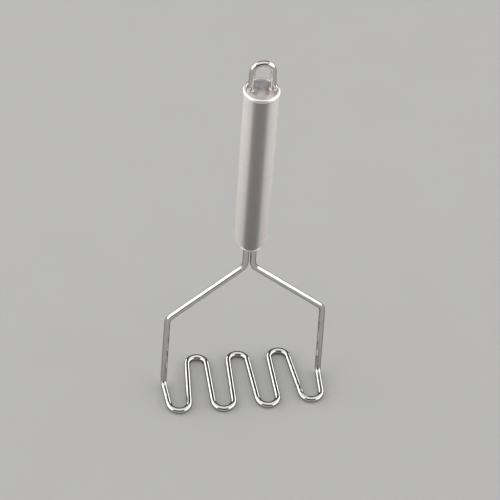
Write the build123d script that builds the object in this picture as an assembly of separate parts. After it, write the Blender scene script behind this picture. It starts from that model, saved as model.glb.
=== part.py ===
from build123d import *
from math import atan2, degrees, sqrt
from typing import NamedTuple
import os

os.makedirs("parts", exist_ok=True)

# Potato masher that stands on its own foot, in millimetres.
# +Z is up and the floor is Z = 0. The masher mirrors about X = 0, and its foot's depth is centred on Y = 0.
# One bent rod makes the foot, the posts and the shoulders, and its two shanks rise into a hollow handle.

# Bent rod: places of its corners, measured on its centre line; the neck drops from the handle's mouth
rod_diameter = 4.0
shank_spacing = 4.8
neck_drop = 21.1
shoulder_height = 64.5
shoulder_width = 104.6
foot_width = 107.3
neck_bend = 9.0
shoulder_bend = 8.0
foot_bend = 4.6

# Serpentine foot: near turns point to -Y, far turns to +Y
near_turns = 4
near_turn_radius = 7.0
far_turn_radius = 6.7
foot_depth = 48.9
outer_leg_lean = 1.2
middle_turn_lead = 1.6
far_pitch_share = 0.945

# Handle tube with its rounded lower end and flat mouth
handle_diameter = 22.0
tube_wall = 0.6
tube_length = 127.0
mouth_height = 130.0
mouth_face_diameter = 14.4
handle_setback = 3.7

# Collar that closes the mouth round the two shanks; its rounded lip stands a little proud of the mouth
collar_lip = 1.2
collar_proud = 0.3
collar_rounding = 0.55
collar_depth = 5.0

# Disc inside the tube that the shanks are welded to
anchor_height = 28.0
anchor_thickness = 3.0
anchor_edge = 0.4
shank_stub = 2.6
shank_weld_leg = 1.5

# End cap with a proud rounded rim and a recessed face
rim_proud = 0.4
rim_height = 2.3
rim_rounding = 1.35
rim_foot_rounding = 0.35
face_diameter = 19.2
face_recess = 0.5
face_edge_rounding = 0.35
face_thickness = 1.2
skirt_depth = 8.0
skirt_wall = 0.8

# Hanging loop and its two weld beads
loop_rod_diameter = 3.5
loop_base_spacing = 13.8
loop_crown_radius = 6.55
loop_height = 22.0
loop_leg_depth = 3.0
loop_weld_leg = 0.6

# Clearance of every fitted pair, and how far cutting shapes run past what they cut
fit_gap = 0.05
overrun = 1.0

rod_radius = rod_diameter / 2
loop_rod_radius = loop_rod_diameter / 2
handle_radius = handle_diameter / 2
tube_bore_radius = handle_radius - tube_wall
neck_height = mouth_height - neck_drop
mouth_face_radius = mouth_face_diameter / 2
dome_height = sqrt(handle_radius**2 - mouth_face_radius**2)
dome_centre = mouth_height + dome_height
mouth_radius = sqrt(tube_bore_radius**2 - dome_height**2)
tube_top = mouth_height + tube_length
rim_top = tube_top + rim_height
face_level = rim_top - face_recess
anchor_top = mouth_height + anchor_height + anchor_thickness
on_base = (Align.CENTER, Align.CENTER, Align.MIN)


class Turn(NamedTuple):
    """One bend of a flat chain: its centre, its radius and the side of +Y or -Y that it bulges to."""

    centre: Vector
    radius: float
    side: int

    def crown(self):
        return self.centre + Vector(0, self.side * self.radius)


def straight_between(first, second):
    """Ends of the straight that runs tangent from one turn to the next one on its other side."""
    across = second.centre - first.centre
    reach = first.radius + second.radius
    lean = degrees(atan2(reach, sqrt(across.length**2 - reach**2)))
    along = across.normalized().rotate(Axis.Z, -first.side * lean)
    outward = along.rotate(Axis.Z, first.side * 90)
    return first.centre + outward * first.radius, second.centre - outward * second.radius


def straights_of(turns):
    return [straight_between(first, second) for first, second in zip(turns, turns[1:])]


def arcs_of(turns, straights):
    """The arcs round every turn between the two ends of a chain."""
    inner = zip(straights, turns[1:-1], straights[1:])
    return [ThreePointArc(before[1], turn.crown(), after[0]) for before, turn, after in inner]


def foot_turns():
    """The chain of the foot in plan; the two post feet end it as turns of no radius."""
    near_pitch = (foot_width - 2 * near_turn_radius - 2 * outer_leg_lean) / (near_turns - 1)
    far_pitch = near_pitch * far_pitch_share
    far_y = foot_depth / 2 - far_turn_radius
    chain = [Turn(Vector(-foot_width / 2, handle_setback), 0, 1)]
    for index in range(near_turns):
        middle = 0 < index < near_turns - 1
        lead = 0 if middle else middle_turn_lead
        near_x = (index - (near_turns - 1) / 2) * near_pitch
        near_y = lead + near_turn_radius - foot_depth / 2
        chain.append(Turn(Vector(near_x, near_y), near_turn_radius, -1))
        if index < near_turns - 1:
            far_x = (index - (near_turns - 2) / 2) * far_pitch
            chain.append(Turn(Vector(far_x, far_y), far_turn_radius, 1))
    chain.append(Turn(Vector(foot_width / 2, handle_setback), 0, 1))
    return chain


def frame_side(side, leg_end):
    """Shank, shoulder, post and outer leg of one side, with the bends between them."""
    shank_x = side * shank_spacing / 2
    corners = [
        (shank_x, handle_setback, anchor_top + shank_stub),
        (shank_x, handle_setback, neck_height),
        (side * shoulder_width / 2, handle_setback, shoulder_height),
        (side * foot_width / 2, handle_setback, rod_radius),
        leg_end,
    ]
    return FilletPolyline(*corners, radius=[neck_bend, shoulder_bend, foot_bend])


def sweep_rod(path, radius):
    return sweep(Plane(path @ 0, z_dir=path % 0) * Circle(radius), path=path)


def mashing_wire():
    """The whole bent rod: the flat foot, lifted to touch the floor, and the frame on both sides."""
    turns = foot_turns()
    straights = straights_of(turns)
    legs = [Line(*ends) for ends in straights[1:-1]]
    lift = Vector(0, 0, rod_radius)
    edges = [edge.translate(lift) for edge in arcs_of(turns, straights) + legs]
    edges += frame_side(-1, straights[0][1] + lift).edges()
    edges += frame_side(1, straights[-1][0] + lift).edges()
    return sweep_rod(Wire(edges), rod_radius)


def upright(radius, bottom, height):
    """A round post on the handle's axis."""
    return Pos(0, handle_setback, bottom) * Cylinder(radius, height, align=on_base)


def shank_posts(radius, bottom, height):
    """Two round posts on the axes of the shanks."""
    places = [Pos(side * shank_spacing / 2, 0, 0) for side in (-1, 1)]
    return Part() + [place * upright(radius, bottom, height) for place in places]


def round_ended(radius, top):
    """A round bar on the handle's axis whose lower end is half a ball."""
    ball = Pos(0, handle_setback, dome_centre) * Sphere(radius)
    return ball + upright(radius, dome_centre, top - dome_centre)


def handle_tube():
    outside = round_ended(handle_radius, tube_top)
    inside = round_ended(tube_bore_radius, tube_top + overrun)
    below_mouth = upright(handle_radius, mouth_height - handle_radius, handle_radius)
    return outside - inside - below_mouth


def mouth_collar():
    """A rounded lip under the tube's mouth and a spigot that fills the mouth."""
    bottom = mouth_height - collar_lip
    height = collar_lip + collar_depth
    lip = upright(mouth_face_radius + collar_proud, bottom, collar_lip)
    lip = fillet(lip.edges().filter_by(GeomType.CIRCLE), collar_rounding)
    collar = lip + upright(mouth_radius - fit_gap, bottom, height)
    return collar - shank_posts(rod_radius + fit_gap, bottom - overrun, height + 2 * overrun)


def anchor_disc():
    """A round disc across the tube's bore, with a hole for each shank."""
    bottom = anchor_top - anchor_thickness
    disc = upright(tube_bore_radius - fit_gap, bottom, anchor_thickness)
    disc = chamfer(disc.edges().filter_by(GeomType.CIRCLE), anchor_edge)
    return disc - shank_posts(rod_radius + fit_gap, bottom - overrun, anchor_thickness + 2 * overrun)


def shank_weld():
    """One bead that runs round both shanks on top of the disc."""
    foot_radius = rod_radius + shank_weld_leg
    bead = Part()
    for side in (-1, 1):
        place = Pos(side * shank_spacing / 2, handle_setback, anchor_top)
        bead += place * Cone(foot_radius, rod_radius, shank_weld_leg, align=on_base)
    return bead - shank_posts(rod_radius, anchor_top - overrun, shank_weld_leg + 2 * overrun)


def loop_turns():
    """The chain of the loop in its own upright plane, where Y is the height above the cap's face."""
    half = loop_base_spacing / 2
    crown = Turn(Vector(0, loop_height - loop_rod_radius - loop_crown_radius), loop_crown_radius, 1)
    return [Turn(Vector(-half, 0), 0, -1), crown, Turn(Vector(half, 0), 0, -1)]


def loop_plane():
    return Plane((0, handle_setback, face_level), x_dir=(1, 0, 0), z_dir=(0, -1, 0))


def loop_leg_places():
    """One frame for each leg of the loop: it starts at the cap's face and its Z climbs the leg."""
    turns = loop_turns()
    first, last = straights_of(turns)
    flat = [(first[0], first[1] - first[0]), (last[1], last[0] - last[1])]
    return [loop_plane().location * Plane(base, z_dir=climb).location for base, climb in flat]


def leg_posts(radius, start, length):
    return [place * Pos(0, 0, start) * Cylinder(radius, length, align=on_base) for place in loop_leg_places()]


def hanging_loop():
    """The loop above the cap's face, and the stubs of its legs that go through the cap."""
    turns = loop_turns()
    straights = straights_of(turns)
    edges = [Line(*ends) for ends in straights] + arcs_of(turns, straights)
    path = Wire([loop_plane().location * edge for edge in edges])
    stubs = leg_posts(loop_rod_radius, -loop_leg_depth, loop_leg_depth)
    return sweep_rod(path, loop_rod_radius) + stubs


def loop_welds():
    """A small bead round each leg where it enters the cap's face."""
    foot_radius = loop_rod_radius + loop_weld_leg
    below_face = upright(handle_radius, face_level - overrun, overrun)
    bead = Cone(foot_radius + fit_gap, loop_rod_radius, loop_weld_leg + fit_gap, align=on_base)
    beads = [place * Pos(0, 0, -fit_gap) * bead for place in loop_leg_places()]
    return Part() + beads - below_face - leg_posts(loop_rod_radius, -overrun, loop_weld_leg + 2 * overrun)


def end_cap():
    """A rounded rim on the tube's end, a recessed face, and a hollow skirt inside the tube."""
    rim_radius = handle_radius + rim_proud
    skirt_radius = tube_bore_radius - fit_gap
    skirt_bottom = tube_top - skirt_depth
    hollow_top = face_level - face_thickness
    rim = upright(rim_radius, tube_top, rim_height)
    rim = fillet(rim.edges().group_by(Axis.Z)[-1], rim_rounding)
    rim = fillet(rim.edges().group_by(Axis.Z)[0], rim_foot_rounding)
    rim -= upright(face_diameter / 2, face_level, face_recess + overrun)
    rim = fillet(rim.edges().group_by(Axis.Z)[-1], face_edge_rounding)
    hollow_bottom = skirt_bottom - overrun
    hollow = upright(skirt_radius - skirt_wall, hollow_bottom, hollow_top - hollow_bottom)
    cap = rim + upright(skirt_radius, skirt_bottom, skirt_depth) - hollow
    return cap - leg_posts(loop_rod_radius + fit_gap, -face_thickness - overrun, face_thickness + 2 * overrun)


nodes = {
    "mashing_wire": mashing_wire(),
    "handle_tube": handle_tube(),
    "mouth_collar": mouth_collar(),
    "anchor_disc": anchor_disc(),
    "shank_weld": shank_weld(),
    "end_cap": end_cap(),
    "hanging_loop": hanging_loop(),
    "loop_welds": loop_welds(),
}
for name, shape in nodes.items():
    export_step(shape, f"parts/{name}.step")
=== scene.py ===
"""Potato masher: one bent rod with a serpentine foot, held in a hollow steel handle.

Laid out as a Blender add-on and run as a script. Lengths are metres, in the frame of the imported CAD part.
The masher mirrors about X = 0, so every rod is modelled on its +X side and mirrored. Its front is -Y.
"""

import math
from typing import NamedTuple

import bmesh
import bpy
from bpy.props import FloatProperty, FloatVectorProperty, PointerProperty
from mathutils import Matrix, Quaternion, Vector


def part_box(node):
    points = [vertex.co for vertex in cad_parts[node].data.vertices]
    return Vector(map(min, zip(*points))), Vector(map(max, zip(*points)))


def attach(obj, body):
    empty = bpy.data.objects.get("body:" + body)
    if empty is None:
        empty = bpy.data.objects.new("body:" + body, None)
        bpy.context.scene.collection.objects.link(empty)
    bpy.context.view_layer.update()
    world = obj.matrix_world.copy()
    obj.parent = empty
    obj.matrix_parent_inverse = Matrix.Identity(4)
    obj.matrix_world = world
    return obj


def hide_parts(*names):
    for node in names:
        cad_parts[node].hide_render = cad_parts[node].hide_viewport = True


bl_info = {
    "name": "Potato masher",
    "version": (1, 0, 0),
    "blender": (4, 5, 0),
    "location": "View3D > Sidebar > Masher",
    "description": "Models a wire potato masher with a hollow steel handle",
    "category": "Object",
}

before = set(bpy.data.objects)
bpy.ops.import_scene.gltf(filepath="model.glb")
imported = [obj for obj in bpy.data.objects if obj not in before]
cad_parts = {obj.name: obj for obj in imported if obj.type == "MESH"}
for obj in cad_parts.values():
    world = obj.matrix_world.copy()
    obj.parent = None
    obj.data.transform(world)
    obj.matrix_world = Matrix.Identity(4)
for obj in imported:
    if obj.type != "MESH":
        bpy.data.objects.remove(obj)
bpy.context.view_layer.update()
BODY = "root"
MM = 0.001
UP = Vector((0, 0, 1))

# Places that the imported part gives
WIRE_LOW, WIRE_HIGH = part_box("mashing_wire")
TUBE_LOW, TUBE_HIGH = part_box("handle_tube")
CAP_LOW, CAP_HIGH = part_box("end_cap")
_, LOOP_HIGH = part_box("hanging_loop")
COLLAR_LOW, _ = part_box("mouth_collar")
AXIS_Y = (TUBE_LOW.y + TUBE_HIGH.y) / 2

# How finely the pieces are divided
RING_POINTS = 32
RUN_STEP = 5 * MM
BEND_STEP = math.radians(9)
LATHE_STEPS = 128
DOME_STEPS = 16
FACE_STEPS = 12
RIM_STEPS = 8
CORNER_STEPS = 6
BEAD_STEPS = 12
WELD_STEPS = 5
SPOKES_PER_RIPPLE = 4

# Points nearer than this are one point, and how far a mirrored half may miss the middle
SAME_POINT = 0.001 * MM
SAME_MIDDLE = 0.005 * MM

# Width of a rod's end face as a share of the rod's, inside its small chamfer
END_FACE = 0.85

# Painted shade: how light steel is where it is seen almost edge on, set dark so that rods and handle get a
# dark outline
PAINTED_EDGE_SHADE = (0.1, 0.1, 0.1)

# Part of a full turn that lays the stretch of a light across fine lines that run round the handle
ACROSS_LINES = 0.25

# Ripples of a weld bead: how many go round a leg, and their depth as a share of the bead's height.
# They leave out what lies this close to the leg, as a share of its radius, or to the cap's face.
BEAD_RIPPLES = 20
RIPPLE_DEPTH = 0.09
NEAR_LEG = 1.02
NEAR_FACE = 0.02 * MM

# Stage: size of the floor, the point that the soft boxes face, and the azimuth in degrees, near the camera's
# own, that theirs are counted from
FLOOR_SIZE = 16
LAMP_AIM = Vector((0, 0, 0.13))
LAMP_TURN = -12

# Camera: width of its sensor in millimetres, and the nearest thing that it sees
SENSOR_WIDTH = 36
CLIP_START = 0.05


def length(name, description, millimetres):
    """A length that the user sees in the scene's unit."""
    shown = {"min": 0, "precision": 5, "subtype": "DISTANCE", "unit": "LENGTH"}
    return FloatProperty(name=name, description=description, default=millimetres * MM, **shown)


def angle(name, description, degrees):
    """An angle that the user sees in degrees."""
    shown = {"subtype": "ANGLE", "unit": "ROTATION"}
    return FloatProperty(name=name, description=description, default=math.radians(degrees), **shown)


def share(name, description, value):
    """A number from 0 to 1, shown as a slider."""
    shown = {"min": 0, "max": 1, "subtype": "FACTOR"}
    return FloatProperty(name=name, description=description, default=value, **shown)


def colour(name, description, value):
    """A colour, in the linear parts of red, green and blue."""
    shown = {"min": 0, "max": 1, "subtype": "COLOR"}
    return FloatVectorProperty(name=name, description=description, default=value, **shown)


class MasherRodSizes(bpy.types.PropertyGroup):
    """Sizes of the bent rod, on its centre line."""

    radius: length("Rod radius", "Radius of the round rod", 2)
    shank_spacing: length("Shank spacing", "Distance between the two shanks", 4.8)
    neck_drop: length("Neck drop", "From the handle's mouth down to the corner of the neck", 21.1)
    shoulder_height: length("Shoulder height", "Height of the shoulder's corner above the floor", 64.5)
    shoulder_width: length("Shoulder width", "Distance between the corners of the two shoulders", 104.6)
    foot_width: length("Foot width", "Distance between the corners of the two posts at the floor", 107.3)
    neck_bend: length("Neck bend", "Radius of the bend from a shank to its shoulder", 9)
    shoulder_bend: length("Shoulder bend", "Radius of the bend from a shoulder to its post", 8)
    foot_bend: length("Foot bend", "Radius of the bend from a post to its leg", 4.6)
    near_turn: length("Near turn", "Radius of the four turns that point forwards", 7)
    far_turn: length("Far turn", "Radius of the three turns that point backwards", 6.7)
    leg_lean: length("Outer leg lean", "How far the outer legs lean outwards", 1.2)
    middle_lead: length("Middle turn lead", "How far the middle near turns reach past the outer ones", 1.6)
    far_share: share("Far pitch", "Pitch of the far turns as a share of the near turns' pitch", 0.945)


class MasherHandleSizes(bpy.types.PropertyGroup):
    """Sizes of the hollow handle, its end cap and its hanging loop."""

    radius: length("Handle radius", "Outside radius of the tube", 11)
    wall: length("Tube wall", "Thickness of the tube", 0.6)
    mouth_radius: length("Mouth radius", "Radius at which the rounded end is cut flat", 7.2)
    bead_height: length("Mouth bead", "Height of the rounded bead round the mouth", 1.24)
    bead_proud: length("Bead stand", "How far the bead stands out from the mouth", 0.4)
    bead_drop: length("Bead drop", "How far the bead reaches below the collar's lip", 0.02)
    rim_proud: length("Rim", "How far the cap's rim stands out from the tube", 0.4)
    rim_rounding: length("Rim rounding", "Radius of the cap's outer edge", 1.35)
    rim_foot: length("Rim foot", "Radius of the rim's lower edge, where it meets the tube", 0.35)
    face_radius: length("Face radius", "Radius of the cap's recessed face", 9.6)
    face_recess: length("Face recess", "How far the face lies below the rim", 0.5)
    face_edge: length("Face edge", "Radius of the rim's inner edge", 0.35)
    face_dome: length("Face dome", "How far the face's middle stands above its edge", 0.46)
    face_wall: length("Face thickness", "Thickness of the cap's face", 1.2)
    skirt_wall: length("Skirt wall", "Thickness of the skirt inside the tube", 0.8)
    skirt_gap: length("Skirt gap", "Clearance between the skirt and the tube", 0.05)
    loop_radius: length("Loop rod radius", "Radius of the loop's rod", 1.75)
    loop_spacing: length("Loop spacing", "Distance between the loop's legs at the cap's face", 13.8)
    loop_crown: length("Loop crown", "Radius of the loop's crown, on its centre line", 6.55)
    loop_depth: length("Loop depth", "How far the loop's legs go down into the cap", 3)
    weld_leg: length("Weld bead", "Height and width of the weld bead round a leg", 0.6)


class MasherFinish(bpy.types.PropertyGroup):
    """Colours and polish of the metal."""

    rod_colour: colour("Rod colour", "Polished bent rod", (0.655, 0.65, 0.64))
    loop_colour: colour("Loop colour", "Polished hanging loop, warmer than the rod", (0.70, 0.65, 0.62))
    rod_rough: share("Rod roughness", "Roughness of the polished rod and loop", 0.06)
    tube_colour: colour("Handle colour", "Satin steel of the handle", (0.595, 0.562, 0.54))
    tube_rough: share("Handle roughness", "Roughness of the satin handle", 0.54)
    brushing: share("Brushing", "How strongly the fine sanding lines stretch the light", 0.96)
    trim_colour: colour("Trim colour", "Polished rim of the cap", (0.97, 0.925, 0.90))
    trim_rough: share("Trim roughness", "Roughness of the polished rim", 0.44)
    turning: share("Turning", "How strongly the fine turned lines of the cap stretch the light", 0.5)
    face_colour: colour("Cap face colour", "Hazy recessed face of the cap", (0.88, 0.842, 0.826))
    face_rough: share("Cap face roughness", "Roughness of the cap's hazy face", 0.36)
    lip_colour: colour("Lip colour", "Lip of the collar at the handle's mouth", (0.93, 0.885, 0.855))
    lip_rough: share("Lip roughness", "Roughness of the collar's lip", 0.55)
    plain_rough: share("Plain roughness", "Roughness of the plain disc inside the tube", 0.3)
    weld_colour: colour("Weld colour", "Weld beads", (0.66, 0.615, 0.58))


class MasherStage(bpy.types.PropertyGroup):
    """Floor, lamps and camera."""

    floor_colour: colour("Floor colour", "Plain pale floor", (0.43, 0.426, 0.42))
    room_colour: colour("Room colour", "Dim light that comes from all round", (0.07, 0.07, 0.073))
    lens: FloatProperty(name="Lens", description="Focal length of the camera", default=153.27, unit="CAMERA")
    azimuth: angle("Camera azimuth", "Direction of the camera round the masher", -12.06)
    elevation: angle("Camera elevation", "Height of the camera above the horizon", 44.37)
    roll: angle("Camera roll", "Turn of the camera about its own line of sight", 4.2)
    distance: length("Camera distance", "From the camera to the point it looks at", 1395.7)
    look_height: length("Look height", "Height on the handle's axis that the camera looks at", 96.8)
    look_lift: length("Look lift", "Shift of that point along the camera's own upward direction", 18.9)


# ---- Material nodes ----


class Line:
    """One output of a material's nodes. Arithmetic on it adds Math nodes."""

    def __init__(self, board, socket):
        self.board = board
        self.socket = socket

    def math(self, operation, *values):
        return self.board.node("ShaderNodeMath", {"operation": operation}, dict(enumerate(values)))

    def __add__(self, other):
        return self.math("ADD", self, other)

    def __sub__(self, other):
        return self.math("SUBTRACT", self, other)

    def __rsub__(self, other):
        return self.math("SUBTRACT", other, self)

    def __mul__(self, other):
        return self.math("MULTIPLY", self, other)

    def __pow__(self, other):
        return self.math("POWER", self, other)

    __radd__ = __add__
    __rmul__ = __mul__


class Board:
    """The node tree of one material, with the shader of a metal at its end."""

    def __init__(self, name):
        self.material = bpy.data.materials.new(name)
        self.material.use_nodes = True
        self.tree = self.material.node_tree
        self.tree.nodes.clear()

    def node(self, kind, settings=None, values=None, output=None):
        """Adds a node: its settings first, then the values or links of its sockets."""
        made = self.tree.nodes.new(kind)
        for key, value in (settings or {}).items():
            setattr(made, key, value)
        for key, value in (values or {}).items():
            if isinstance(value, Line):
                self.tree.links.new(value.socket, made.inputs[key])
            else:
                made.inputs[key].default_value = value
        shown = [socket for socket in made.outputs if socket.enabled]
        if not shown:
            return made
        return Line(self, made.outputs[output] if output else shown[0])

    def place(self):
        """Object coordinates in millimetres, measured from the handle's axis."""
        position = self.node("ShaderNodeTexCoord", output="Object")
        centred = self.vector("SUBTRACT", position, (0, AXIS_Y, 0))
        return self.vector("MULTIPLY", centred, (1 / MM, 1 / MM, 1 / MM))

    def vector(self, operation, first, second):
        """Arithmetic on all three parts of a place."""
        return self.node("ShaderNodeVectorMath", {"operation": operation}, {0: first, 1: second})

    def part(self, vector, axis):
        """One part of a place, by its letter."""
        return self.node("ShaderNodeSeparateXYZ", None, {0: vector}, axis)

    def noise(self, position, scale, detail=2, roughness=0.5):
        """Clouds between 0 and 1. The scale is about how many lie along one unit of the position."""
        values = {"Vector": position, "Scale": scale, "Detail": detail, "Roughness": roughness}
        return self.node("ShaderNodeTexNoise", None, values, "Fac")

    def spread(self, value, low, high):
        """The value's range from 0 to 1, laid over low to high."""
        return value * (high - low) + low

    def rise(self, value, low, high):
        """0 below low, 1 above high and even between."""
        ends = {"Value": value, "From Min": low, "From Max": high}
        return self.node("ShaderNodeMapRange", {"interpolation_type": "SMOOTHSTEP"}, ends, "Result")

    def fall(self, value, low, high):
        """1 below low, 0 above high and even between."""
        return 1 - self.rise(value, low, high)

    def mix(self, factor, first, second):
        """A colour between two colours."""
        settings = {"data_type": "RGBA"}
        return self.node("ShaderNodeMix", settings, {0: factor, 6: first, 7: second}, 2)

    def bump(self, height, distance, under=None):
        """Relief of that depth, laid over the relief under it."""
        values = {"Height": height, "Distance": distance}
        if under:
            values["Normal"] = under
        return self.node("ShaderNodeBump", None, values)

    def finish(self, **values):
        """Ends the tree in one Principled shader, with its sockets named in words."""
        named = {key.replace("_", " "): value for key, value in values.items()}
        shader = self.node("ShaderNodeBsdfPrincipled", None, named)
        self.node("ShaderNodeOutputMaterial", None, {"Surface": shader})
        return self.material


def solid(value, level=1.0):
    """A four-part colour from a three-part one, made lighter or darker."""
    return (*[part * level for part in value], 1)


def tinted(value, tint):
    """A four-part colour from a three-part one, with each part made lighter or darker by its own amount."""
    return (*[part * level for part, level in zip(value, tint)], 1)


def polished_steel(name, tone, rough, waves=0.25):
    """Polished metal with faint clouds of wear, hairlines, and slight waves left by bending and polishing."""
    board = Board(name)
    place = board.place()
    clouds = board.noise(place, 0.09, 3)
    hairs = board.noise(place, 2.6, 4, 0.7)
    swell = board.noise(place, 0.17, 1)
    roughness = board.spread(clouds, 0.5, 1.5) * rough + hairs * 0.03
    base = board.mix(board.spread(hairs * clouds, 0, 1.6), solid(tone, 0.90), solid(tone, 1.07))
    waved = board.bump(swell, waves * MM)
    normal = board.bump(hairs, 0.002 * MM, waved)
    return board.finish(
        Base_Color=base,
        Metallic=1.0,
        Roughness=roughness,
        Normal=normal,
        # Painted shade: the steel is darkened where it is seen almost edge on
        Specular_Tint=solid(PAINTED_EDGE_SHADE),
    )


def satin_steel(name, tone, rough, brushing):
    """Steel sanded round the handle: fine lines across its length, which stretch each light up and down.

    The colour is a little darker towards the bottom.
    """
    board = Board(name)
    place = board.place()
    fine = board.noise(board.vector("MULTIPLY", place, (0.12, 0.12, 9)), 1, 3, 0.65)
    coarse = board.noise(board.vector("MULTIPLY", place, (0.06, 0.06, 1.1)), 1, 3, 0.6)
    clouds = board.noise(place, 0.045, 3)
    lines = fine * 0.5 + coarse * 0.5
    # clean only rises from 0 at the bottom of the tube to 1 at its top: the colour gets lighter towards the
    # top
    clean = board.rise(board.part(place, "Z"), TUBE_LOW.z / MM, TUBE_HIGH.z / MM)
    base = board.mix(lines * 0.7 + clean * 0.3, solid(tone, 0.78), solid(tone, 1.22))
    roughness = board.spread(lines, 0.9, 1.1) * board.spread(clouds, 0.88, 1.12) * rough
    normal = board.bump(lines, 0.006 * MM)
    return board.finish(
        Base_Color=base,
        Metallic=1.0,
        Roughness=roughness,
        Normal=normal,
        # Painted shade: the steel is darkened where it is seen almost edge on
        Specular_Tint=solid(PAINTED_EDGE_SHADE),
        Anisotropic=brushing,
        Anisotropic_Rotation=ACROSS_LINES,
    )


def trim_steel(name, tone, rough):
    """Polished steel with a fine grain and faint clouds."""
    board = Board(name)
    place = board.place()
    clouds = board.noise(place, 0.22, 3)
    grain = board.noise(place, 5, 3, 0.7)
    base = board.mix(clouds, solid(tone, 0.92), solid(tone, 1.04))
    roughness = board.spread(clouds, 0.7, 1.3) * rough
    normal = board.bump(grain, 0.003 * MM)
    return board.finish(Base_Color=base, Metallic=1.0, Roughness=roughness, Normal=normal)


def cap_steel(finish, face_radius):
    """The cap's polished rim, and its hazy face with faint cool and warm clouds.

    Both were turned on a lathe, and the fine lines that run round them stretch each light outwards.
    The warm, light clouds lie mostly in the front half of the face, towards the left: partly random tone,
    partly painted reflected light.
    """
    board = Board("cap steel")
    place = board.place()
    across = board.part(place, "X")
    along = board.part(place, "Y")
    out = (across * across + along * along) ** 0.5
    face = board.fall(out, face_radius / MM - 0.15, face_radius / MM + 0.1)
    clouds = board.noise(place, 0.20, 3, 0.55)
    patches = board.noise(place, 0.34, 2)
    grain = board.noise(place, 5, 3, 0.7)
    tone = finish.face_colour
    greenish = tinted(tone, (0.85, 0.88, 0.87))
    bluish = tinted(tone, (0.91, 0.92, 0.96))
    warm = tinted(tone, (1.14, 1.09, 1.05))
    # Random clouds pulled towards the front and left, where the face is painted lighter and warmer: painted
    # reflected light
    clouds_and_front_light = clouds - along * 0.014 - across * 0.007
    haze = board.mix(board.rise(clouds_and_front_light, 0.36, 0.66), board.mix(patches, greenish, bluish), warm)
    rim = board.mix(clouds, solid(finish.trim_colour, 0.92), solid(finish.trim_colour, 1.04))
    base = board.mix(face, rim, haze)
    polish = board.spread(clouds, 0.7, 1.3) * finish.trim_rough
    dull = board.spread(patches, 0.75, 1.25) * finish.face_rough
    roughness = polish * (1 - face) + dull * face
    normal = board.bump(grain, 0.004 * MM, board.bump(clouds * face, 0.06 * MM))
    return board.finish(
        Base_Color=base,
        Metallic=1.0,
        Roughness=roughness,
        Normal=normal,
        Anisotropic=finish.turning,
        Anisotropic_Rotation=ACROSS_LINES,
    )


def weld_metal(name, tone):
    """Weld metal, brushed clean, with fine ripples and a faint straw tint of heat."""
    board = Board(name)
    place = board.place()
    ripples = board.noise(place, 3.5, 3, 0.6)
    clouds = board.noise(place, 0.8, 2)
    base = board.mix(clouds, tinted(tone, (0.86, 0.82, 0.76)), solid(tone, 1.12))
    roughness = board.spread(ripples, 0.18, 0.36)
    normal = board.bump(ripples, 0.04 * MM)
    return board.finish(Base_Color=base, Metallic=1.0, Roughness=roughness, Normal=normal)


# ---- Modelling by hand ----


class Run(NamedTuple):
    """A straight stretch of rod."""

    shift: Vector


class Bend(NamedTuple):
    """A stretch of rod bent round a centre, by the right-hand rule about its axis."""

    centre: Vector
    axis: Vector
    turn: float


def flat(x, y):
    """A point or direction in a flat plan."""
    return Vector((x, y, 0))


def bend_at(corner, before, after, radius):
    """The bend of that radius in the corner between two directions, and how much of each run it takes."""
    turn = before.angle(after)
    taken = radius * math.tan(turn / 2)
    inward = (after - before * after.dot(before)).normalized()
    centre = corner - before * taken + inward * radius
    return Bend(centre, before.cross(after).normalized(), turn), taken


def moves_along(points, radii):
    """Runs along the points, with a bend of its radius at each corner between them."""
    directions = [(b - a).normalized() for a, b in zip(points, points[1:])]
    moves = []
    taken = 0
    for index, radius in enumerate(radii):
        bend, next_taken = bend_at(points[index + 1], directions[index], directions[index + 1], radius)
        full = (points[index + 1] - points[index]).length
        moves += [Run(directions[index] * (full - taken - next_taken)), bend]
        taken = next_taken
    last = points[-1] - points[-2]
    return moves + [Run(directions[-1] * (last.length - taken))]


def straight_between(first, second):
    """Ends of the straight that runs tangent from one flat turn to the next one on its other side.

    Each turn has a centre, a radius, and 1 or -1 for the side of +Y or -Y that it bulges to.
    """
    across = second[0] - first[0]
    reach = first[1] + second[1]
    lean = math.asin(reach / across.length)
    along = across.normalized()
    along.rotate(Quaternion(UP, -first[2] * lean))
    outward = along.copy()
    outward.rotate(Quaternion(UP, first[2] * math.pi / 2))
    return first[0] + outward * first[1], second[0] - outward * second[1]


def edit_all():
    """Enters edit mode with every point selected."""
    bpy.ops.object.mode_set(mode="EDIT")
    bpy.ops.mesh.select_mode(type="VERT")
    bpy.ops.mesh.select_all(action="SELECT")


def start_piece(name):
    """Names the primitive that was just added and brings its place into its mesh."""
    piece = bpy.context.object
    piece.name = name
    piece.data.name = name
    bpy.ops.object.transform_apply(location=True, rotation=True, scale=True)
    edit_all()
    return piece


def start_ring(name, place, along, radius):
    """A ring of points round a rod's centre line."""
    bpy.ops.object.select_all(action="DESELECT")
    turned = along.to_track_quat("Z", "Y").to_euler()
    bpy.ops.mesh.primitive_circle_add(vertices=RING_POINTS, radius=radius, location=place, rotation=turned)
    return start_piece(name)


def start_point(name, place):
    """A single point, from which a lathe profile is pulled."""
    bpy.ops.object.select_all(action="DESELECT")
    bpy.ops.mesh.primitive_plane_add(size=MM, location=place)
    piece = start_piece(name)
    bpy.ops.mesh.merge(type="CENTER")
    return piece


def pull(shift, steps=1):
    """Extrudes what is selected along a straight."""
    for _ in range(steps):
        bpy.ops.mesh.extrude_region_move(TRANSFORM_OT_translate={"value": shift / steps})


def swing(centre, axis, turn, steps):
    """Extrudes what is selected round an axis, by the right-hand rule."""
    bpy.ops.mesh.spin(steps=steps, angle=-turn, center=centre, axis=axis)


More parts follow.
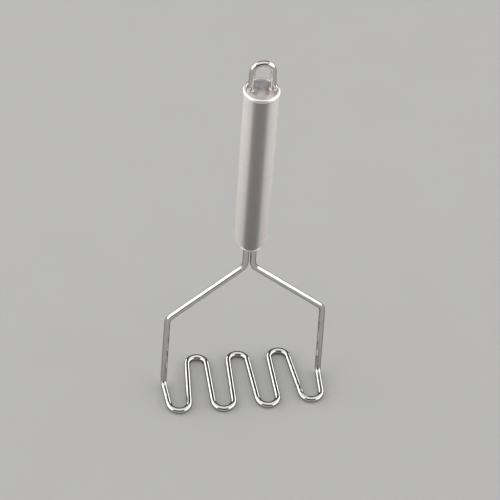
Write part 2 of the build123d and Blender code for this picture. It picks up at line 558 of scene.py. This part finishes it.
def lay_rod(moves):
    """Extrudes the selected ring along the runs and round the bends of a rod."""
    for move in moves:
        if isinstance(move, Run):
            pull(move.shift, max(1, round(move.shift.length / RUN_STEP)))
        else:
            swing(move.centre, move.axis, move.turn, max(2, math.ceil(move.turn / BEND_STEP)))


def close_ring():
    """Closes a rod's end with a small chamfer and a face."""
    bpy.ops.mesh.extrude_region_move()
    bpy.ops.transform.resize(value=(END_FACE, END_FACE, END_FACE))
    bpy.ops.mesh.edge_face_add()


def end_piece(piece, replaced, material, smooth=40):
    """Merges what is double, turns the faces outwards, gives the piece its body and finish, and hides the
    part that it replaces.

    Edges that bend by fewer degrees than smooth are shaded round.
    """
    bpy.ops.mesh.select_all(action="SELECT")
    bpy.ops.mesh.remove_doubles(threshold=SAME_POINT)
    bpy.ops.mesh.normals_make_consistent(inside=False)
    bpy.ops.object.mode_set(mode="OBJECT")
    bpy.ops.object.shade_smooth_by_angle(angle=math.radians(smooth))
    piece.data.materials.clear()
    piece.data.materials.append(material)
    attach(piece, BODY)
    if replaced:
        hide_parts(replaced)


def mirror_half(piece):
    """Leaves edit mode, mirrors the +X half and returns to edit mode."""
    bpy.ops.object.mode_set(mode="OBJECT")
    modifier = piece.modifiers.new("Mirror", "MIRROR")
    modifier.use_axis = (True, False, False)
    modifier.merge_threshold = SAME_MIDDLE
    bpy.ops.object.modifier_apply(modifier=modifier.name)
    edit_all()


def profile_point(radius, height):
    """A point of a lathe profile, on the +X side of the handle's axis."""
    return Vector((radius, AXIS_Y, height))


def round_corner(centre_radius, centre_height, turn, steps=CORNER_STEPS):
    """Pulls the profile round a corner, against the clock as seen from the front."""
    swing(profile_point(centre_radius, centre_height), Vector((0, -1, 0)), turn, steps)


def lathe(steps=LATHE_STEPS, across=0):
    """Spins the whole profile once round the handle's axis, or an upright axis beside it."""
    bpy.ops.mesh.select_all(action="SELECT")
    bpy.ops.mesh.spin(steps=steps, angle=math.tau, center=(across, AXIS_Y, 0), axis=UP)


# ---- Pieces ----


class MASHER_OT_rod(bpy.types.Operator):
    """Model the bent rod with its serpentine foot, posts, shoulders and shanks"""

    bl_idname = "masher.rod"
    bl_label = "Bent rod"

    def execute(self, context):
        sizes = context.scene.masher_rod
        finish = context.scene.masher_finish
        depth = WIRE_HIGH.y - WIRE_LOW.y - 2 * sizes.radius
        pitch = (sizes.foot_width - 2 * sizes.near_turn - 2 * sizes.leg_lean) / 3
        far_pitch = pitch * sizes.far_share
        far_y = depth / 2 - sizes.far_turn
        near_y = sizes.near_turn - depth / 2
        # The foot's +X half, from the crown of the middle far turn to the foot of the post
        turns = [
            (flat(0, far_y), sizes.far_turn, 1),
            (flat(pitch / 2, near_y), sizes.near_turn, -1),
            (flat(far_pitch, far_y), sizes.far_turn, 1),
            (flat(pitch * 1.5, near_y + sizes.middle_lead), sizes.near_turn, -1),
            (flat(sizes.foot_width / 2, AXIS_Y), 0, 1),
        ]
        lift = UP * sizes.radius
        moves = []
        heading = Vector((1, 0, 0))
        straights = [straight_between(a, b) for a, b in zip(turns, turns[1:])]
        for (centre, _, side), (start, end) in zip(turns, straights):
            direction = (end - start).normalized()
            moves.append(Bend(centre + lift, UP * -side, heading.angle(direction)))
            moves.append(Run(end - start))
            heading = direction
        # The last straight is the outer leg, which the frame's own corners below lay with its bend
        moves.pop()
        corners = [
            straights[-1][0] + lift,
            straights[-1][1] + lift,
            Vector((sizes.shoulder_width / 2, AXIS_Y, sizes.shoulder_height)),
            Vector((sizes.shank_spacing / 2, AXIS_Y, TUBE_LOW.z - sizes.neck_drop)),
            Vector((sizes.shank_spacing / 2, AXIS_Y, WIRE_HIGH.z)),
        ]
        moves += moves_along(corners, [sizes.foot_bend, sizes.shoulder_bend, sizes.neck_bend])
        crown = turns[0][0] + Vector((0, sizes.far_turn, 0)) + lift
        piece = start_ring("bent_rod", crown, Vector((1, 0, 0)), sizes.radius)
        lay_rod(moves)
        close_ring()
        mirror_half(piece)
        metal = polished_steel("polished rod", finish.rod_colour, finish.rod_rough)
        end_piece(piece, "mashing_wire", metal)
        return {"FINISHED"}


class MASHER_OT_handle(bpy.types.Operator):
    """Model the hollow handle with its rounded lower end"""

    bl_idname = "masher.handle"
    bl_label = "Handle tube"

    def execute(self, context):
        sizes = context.scene.masher_handle
        finish = context.scene.masher_finish
        inner = sizes.radius - sizes.wall
        rise = math.sqrt(sizes.radius**2 - sizes.mouth_radius**2)
        ball = TUBE_LOW.z + rise
        outer_turn = math.asin(rise / sizes.radius)
        inner_turn = math.asin(rise / inner)
        straight = TUBE_HIGH.z - ball
        piece = start_point("handle_shell", profile_point(sizes.mouth_radius, TUBE_LOW.z))
        round_corner(0, ball, outer_turn, DOME_STEPS)
        pull(UP * straight, round(straight / RUN_STEP))
        pull(Vector((inner - sizes.radius, 0, 0)))
        pull(UP * -straight, 4)
        round_corner(0, ball, -inner_turn, DOME_STEPS)
        lathe()
        close_tube_mouth(piece)
        metal = satin_steel("satin tube", finish.tube_colour, finish.tube_rough, finish.brushing)
        end_piece(piece, "handle_tube", metal)
        return {"FINISHED"}


def close_tube_mouth(piece):
    """Bridges the two open rings of the mouth, so that the wall is closed."""
    bpy.ops.mesh.select_all(action="DESELECT")
    bpy.ops.mesh.select_mode(type="EDGE")
    shape = bmesh.from_edit_mesh(piece.data)
    for edge in shape.edges:
        edge.select = edge.is_boundary
    bmesh.update_edit_mesh(piece.data)
    bpy.ops.mesh.bridge_edge_loops()


def face_ball(sizes):
    """Radius of the large ball that the cap's face is a small part of."""
    return (sizes.face_radius**2 + sizes.face_dome**2) / (2 * sizes.face_dome)


def face_level(sizes, out):
    """Height of the cap's slightly domed face at that distance from the handle's axis."""
    ball = face_ball(sizes)
    drop = math.sqrt(ball**2 - out**2) - math.sqrt(ball**2 - sizes.face_radius**2)
    return CAP_HIGH.z - sizes.face_recess + drop


class MASHER_OT_cap(bpy.types.Operator):
    """Model the pressed end cap with its rounded rim and its recessed, slightly domed face"""

    bl_idname = "masher.cap"
    bl_label = "End cap"

    def execute(self, context):
        sizes = context.scene.masher_handle
        finish = context.scene.masher_finish
        top = CAP_HIGH.z
        face = top - sizes.face_recess
        rim = sizes.radius + sizes.rim_proud
        skirt = sizes.radius - sizes.wall - sizes.skirt_gap
        ball = face_ball(sizes)
        crown = face_level(sizes, 0)
        piece = start_point("handle_end_cap", profile_point(0, crown))
        round_corner(0, crown - ball, -math.asin(sizes.face_radius / ball), FACE_STEPS)
        pull(UP * (sizes.face_recess - sizes.face_edge))
        round_corner(sizes.face_radius + sizes.face_edge, top - sizes.face_edge, -math.pi / 2)
        pull(Vector((rim - sizes.rim_rounding - sizes.face_radius - sizes.face_edge, 0, 0)))
        round_corner(rim - sizes.rim_rounding, top - sizes.rim_rounding, -math.pi / 2, RIM_STEPS)
        pull(UP * (TUBE_HIGH.z + sizes.rim_foot - top + sizes.rim_rounding))
        round_corner(rim - sizes.rim_foot, TUBE_HIGH.z + sizes.rim_foot, -math.pi / 2)
        pull(Vector((skirt - rim + sizes.rim_foot, 0, 0)))
        pull(UP * (CAP_LOW.z - TUBE_HIGH.z))
        pull(Vector((-sizes.skirt_wall, 0, 0)))
        pull(UP * (face - sizes.face_wall - CAP_LOW.z))
        pull(Vector((sizes.skirt_wall - skirt, 0, 0)))
        lathe()
        metal = cap_steel(finish, sizes.face_radius)
        end_piece(piece, "end_cap", metal)
        return {"FINISHED"}


class MASHER_OT_loop(bpy.types.Operator):
    """Model the hanging loop that stands in the cap"""

    bl_idname = "masher.loop"
    bl_label = "Hanging loop"

    def execute(self, context):
        sizes = context.scene.masher_handle
        finish = context.scene.masher_finish
        face = CAP_HIGH.z - sizes.face_recess
        crown = LOOP_HIGH.z - sizes.loop_radius - sizes.loop_crown
        foot = flat(sizes.loop_spacing / 2, face)
        middle = flat(0, crown)
        start, end = straight_between((middle, sizes.loop_crown, 1), (foot, 0, -1))
        down = Vector((end.x - start.x, 0, end.y - start.y))
        heading = Vector((1, 0, 0))
        top = profile_point(0, crown + sizes.loop_crown)
        piece = start_ring("hang_loop", top, heading, sizes.loop_radius)
        lay_rod([Bend(profile_point(0, crown), Vector((0, 1, 0)), heading.angle(down)), Run(down)])
        pull(down.normalized() * sizes.loop_depth)
        close_ring()
        mirror_half(piece)
        metal = polished_steel("polished loop", finish.loop_colour, finish.rod_rough, waves=0.1)
        end_piece(piece, "hanging_loop", metal)
        return {"FINISHED"}


class MASHER_OT_beads(bpy.types.Operator):
    """Model the rippled weld bead round each leg of the hanging loop"""

    bl_idname = "masher.beads"
    bl_label = "Loop's weld beads"

    def execute(self, context):
        sizes = context.scene.masher_handle
        finish = context.scene.masher_finish
        across = sizes.loop_spacing / 2
        face = face_level(sizes, across)
        sunk = face_level(sizes, 0) - face
        side = across + sizes.loop_radius
        piece = start_point("weld_beads", profile_point(side, face - sunk))
        pull(Vector((sizes.weld_leg, 0, 0)))
        pull(UP * sunk)
        round_corner(side, face, math.pi / 2, WELD_STEPS)
        pull(UP * -(sizes.weld_leg + sunk))
        lathe(BEAD_RIPPLES * SPOKES_PER_RIPPLE, across)
        bpy.ops.mesh.remove_doubles(threshold=SAME_POINT)
        bpy.ops.mesh.normals_make_consistent(inside=False)
        select_ripples(piece, profile_point(across, face), sizes.loop_radius)
        bpy.ops.transform.shrink_fatten(value=-sizes.weld_leg * RIPPLE_DEPTH)
        mirror_half(piece)
        metal = weld_metal("loop weld", finish.weld_colour)
        end_piece(piece, "loop_welds", metal, smooth=60)
        return {"FINISHED"}


def select_ripples(piece, centre, leg_radius):
    """Selects the hollows between a bead's ripples: the outer points of one spoke in each ripple."""
    bpy.ops.mesh.select_all(action="DESELECT")
    shape = bmesh.from_edit_mesh(piece.data)
    for vert in shape.verts:
        out = vert.co - centre
        spoke = round(math.atan2(out.y, out.x) / math.tau * BEAD_RIPPLES * SPOKES_PER_RIPPLE)
        proud = math.hypot(out.x, out.y) > leg_radius * NEAR_LEG and out.z > NEAR_FACE
        vert.select = proud and spoke % SPOKES_PER_RIPPLE == 0
    shape.select_flush(True)
    bmesh.update_edit_mesh(piece.data)


class MASHER_OT_lip(bpy.types.Operator):
    """Model the full bead round the lip of the mouth's collar"""

    bl_idname = "masher.lip"
    bl_label = "Mouth bead"

    def execute(self, context):
        sizes = context.scene.masher_handle
        finish = context.scene.masher_finish
        half = sizes.bead_height / 2
        middle = COLLAR_LOW.z + half - sizes.bead_drop
        turn_radius = sizes.mouth_radius + sizes.bead_proud - half
        piece = start_point("mouth_bead", profile_point(turn_radius - half, middle - half))
        pull(Vector((half, 0, 0)))
        round_corner(turn_radius, middle, math.pi, BEAD_STEPS)
        pull(Vector((-half, 0, 0)))
        pull(UP * -sizes.bead_height, 2)
        lathe()
        metal = trim_steel("bead steel", finish.lip_colour, finish.lip_rough)
        end_piece(piece, None, metal)
        return {"FINISHED"}


class MASHER_OT_fittings(bpy.types.Operator):
    """Finish the mouth's collar, and the disc and weld inside the tube"""

    bl_idname = "masher.fittings"
    bl_label = "Collar, disc and inner weld"

    def execute(self, context):
        finish = context.scene.masher_finish
        lip = trim_steel("collar steel", finish.lip_colour, finish.lip_rough)
        weld = weld_metal("inner weld", finish.weld_colour)
        plain = polished_steel("plain steel", finish.tube_colour, finish.plain_rough)
        finishes = {"mouth_collar": lip, "anchor_disc": plain, "shank_weld": weld}
        for name, material in finishes.items():
            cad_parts[name].material_slots[0].material = material
        return {"FINISHED"}


class MASHER_OT_stage(bpy.types.Operator):
    """Lay the pale floor, hang the soft lamps and set the camera"""

    bl_idname = "masher.stage"
    bl_label = "Floor, lamps and camera"

    def execute(self, context):
        stage = context.scene.masher_stage
        bpy.ops.object.select_all(action="DESELECT")
        bpy.ops.mesh.primitive_plane_add(size=FLOOR_SIZE, location=(0, 0, 0))
        floor = context.object
        floor.name = "floor"
        board = Board("plain floor")
        grain = board.noise(board.place(), 0.02, 2)
        tone = board.mix(grain, solid(stage.floor_colour, 0.985), solid(stage.floor_colour, 1.015))
        floor.data.materials.append(board.finish(Base_Color=tone, Roughness=0.85))
        self.hang_lamps()
        self.set_world(context, stage)
        self.set_camera(context, stage)
        return {"FINISHED"}

    @staticmethod
    def hang_lamps():
        """Soft boxes, each with its azimuth and elevation in degrees, distance, width, height and power."""
        boxes = {
            "left box": (-96, 21, 2.4, 6.0, 2.0, 86),
            "right box": (99, 19, 2.4, 6.0, 1.9, 76),
            "top box": (0, 88, 2.4, 4.6, 3.8, 59),
        }
        for name, (turn, rise, distance, width, height, power) in boxes.items():
            azimuth = math.radians(turn + LAMP_TURN)
            elevation = math.radians(rise)
            flat_out = Vector((math.sin(azimuth), -math.cos(azimuth), 0))
            place = LAMP_AIM + (flat_out * math.cos(elevation) + UP * math.sin(elevation)) * distance
            turned = (place - LAMP_AIM).to_track_quat("Z", "Y").to_euler()
            bpy.ops.object.light_add(type="AREA", location=place, rotation=turned)
            lamp = bpy.context.object
            lamp.name = name
            lamp.data.shape = "RECTANGLE"
            lamp.data.size = width
            lamp.data.size_y = height
            lamp.data.energy = power
            lamp.visible_camera = False

    @staticmethod
    def set_world(context, stage):
        world = bpy.data.worlds.new("dim studio")
        world.use_nodes = True
        world.node_tree.nodes["Background"].inputs["Color"].default_value = solid(stage.room_colour)
        context.scene.world = world
        context.scene.view_settings.view_transform = "Standard"

    @staticmethod
    def set_camera(context, stage):
        rise = stage.elevation
        flat_out = Vector((math.sin(stage.azimuth), -math.cos(stage.azimuth), 0))
        back = flat_out * math.cos(rise) + UP * math.sin(rise)
        turned = back.to_track_quat("Z", "Y")
        look = Vector((0, AXIS_Y, stage.look_height)) + turned @ Vector((0, stage.look_lift, 0))
        bpy.ops.object.camera_add(location=look + back * stage.distance)
        camera = context.object
        camera.rotation_euler = (turned @ Quaternion((0, 0, 1), stage.roll)).to_euler()
        camera.data.lens = stage.lens
        camera.data.sensor_width = SENSOR_WIDTH
        camera.data.clip_start = CLIP_START
        context.scene.camera = camera


class MASHER_PT_panel(bpy.types.Panel):
    """The masher's sizes, finishes and pieces in the sidebar"""

    bl_idname = "MASHER_PT_panel"
    bl_label = "Potato masher"
    bl_space_type = "VIEW_3D"
    bl_region_type = "UI"
    bl_category = "Masher"

    def draw(self, context):
        for holder, group in GROUPS.items():
            values = getattr(context.scene, holder)
            box = self.layout.box()
            for name in group.__annotations__:
                box.prop(values, name)
        for operator in OPERATORS:
            self.layout.operator(operator.bl_idname)


GROUPS = {
    "masher_rod": MasherRodSizes,
    "masher_handle": MasherHandleSizes,
    "masher_finish": MasherFinish,
    "masher_stage": MasherStage,
}
OPERATORS = (
    MASHER_OT_stage,
    MASHER_OT_rod,
    MASHER_OT_handle,
    MASHER_OT_cap,
    MASHER_OT_loop,
    MASHER_OT_beads,
    MASHER_OT_lip,
    MASHER_OT_fittings,
)


def register():
    for group in GROUPS.values():
        bpy.utils.register_class(group)
    for shown in (*OPERATORS, MASHER_PT_panel):
        bpy.utils.register_class(shown)
    for holder, group in GROUPS.items():
        setattr(bpy.types.Scene, holder, PointerProperty(type=group))


def unregister():
    for holder in GROUPS:
        delattr(bpy.types.Scene, holder)
    for shown in (MASHER_PT_panel, *OPERATORS):
        bpy.utils.unregister_class(shown)
    for group in GROUPS.values():
        bpy.utils.unregister_class(group)


def main():
    register()
    bpy.ops.masher.stage()
    bpy.ops.masher.rod()
    bpy.ops.masher.handle()
    bpy.ops.masher.cap()
    bpy.ops.masher.loop()
    bpy.ops.masher.beads()
    bpy.ops.masher.lip()
    bpy.ops.masher.fittings()


if __name__ == "__main__":
    main()
